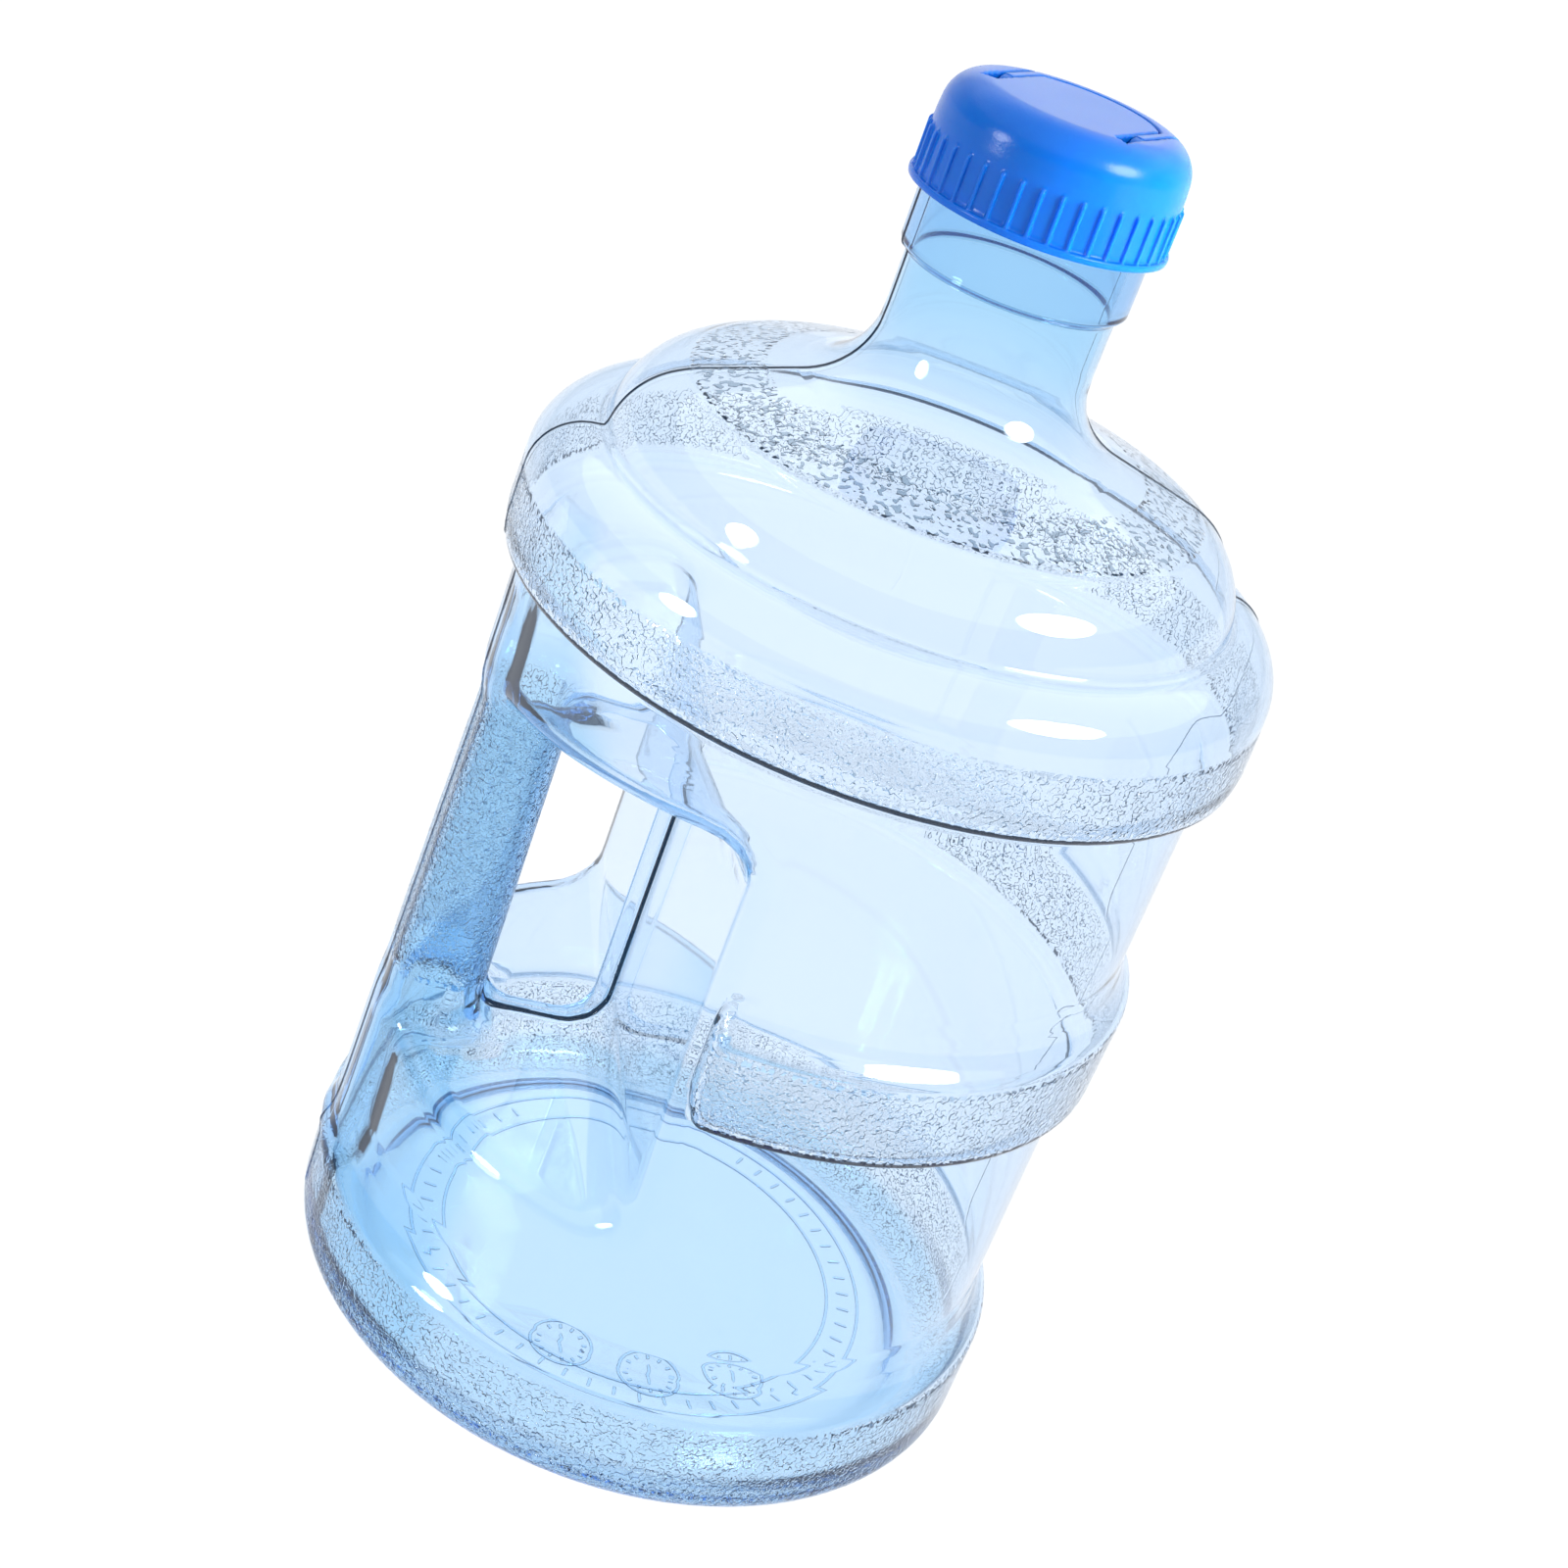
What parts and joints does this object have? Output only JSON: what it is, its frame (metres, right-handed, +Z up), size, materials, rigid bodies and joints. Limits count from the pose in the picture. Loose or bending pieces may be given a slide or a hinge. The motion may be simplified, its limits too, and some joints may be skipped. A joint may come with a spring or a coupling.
{
  "type": "water jug",
  "caption": "Large clear-blue plastic water jug with an integral upright side handle, banded textured body, domed shoulder, and a ribbed screw cap with a folding carrying bail.",
  "frame": {"origin": "centre of the base, on the plane the jug stands on", "axes": "+Z up through the neck; the handle is towards -X; the mould parting plane is XZ"},
  "size_m": [0.1961, 0.1962, 0.3534],
  "materials": {
    "jug_shell": "clear pale-blue polycarbonate, glossy, with pebbled bands and grip",
    "cap_plastic": "glossy deep-blue moulded polypropylene",
    "liner": "soft off-white foam sealing disc"
  },
  "bodies": {
    "jug": {"jug_body": "jug_shell"},
    "seal": {"cap_liner": "liner"},
    "cap": {"screw_cap": "cap_plastic"},
    "bail": {"cap_bail": "cap_plastic"}
  },
  "joints": [
    {"name": "cap_lift", "type": "slide", "parent": "jug", "child": "seal", "axis": [0, 0, 1], "range_m": [0, 0.01501]},
    {"name": "cap_turn", "type": "hinge", "parent": "seal", "child": "cap", "pos_m": [0, 0, 0.335], "axis": [0, 0, 1], "range_deg": [0, 1080]},
    {"name": "bail_fold", "type": "hinge", "parent": "cap", "child": "bail", "pos_m": [-0.00193, -0.0023, 0.349], "axis": [0.766, -0.6428, 0], "range_deg": [0, 100]}
  ],
  "couplings": [
    {"joint": "cap_lift", "follows": "cap_turn", "m_per_rad": 0.00079577}
  ]
}
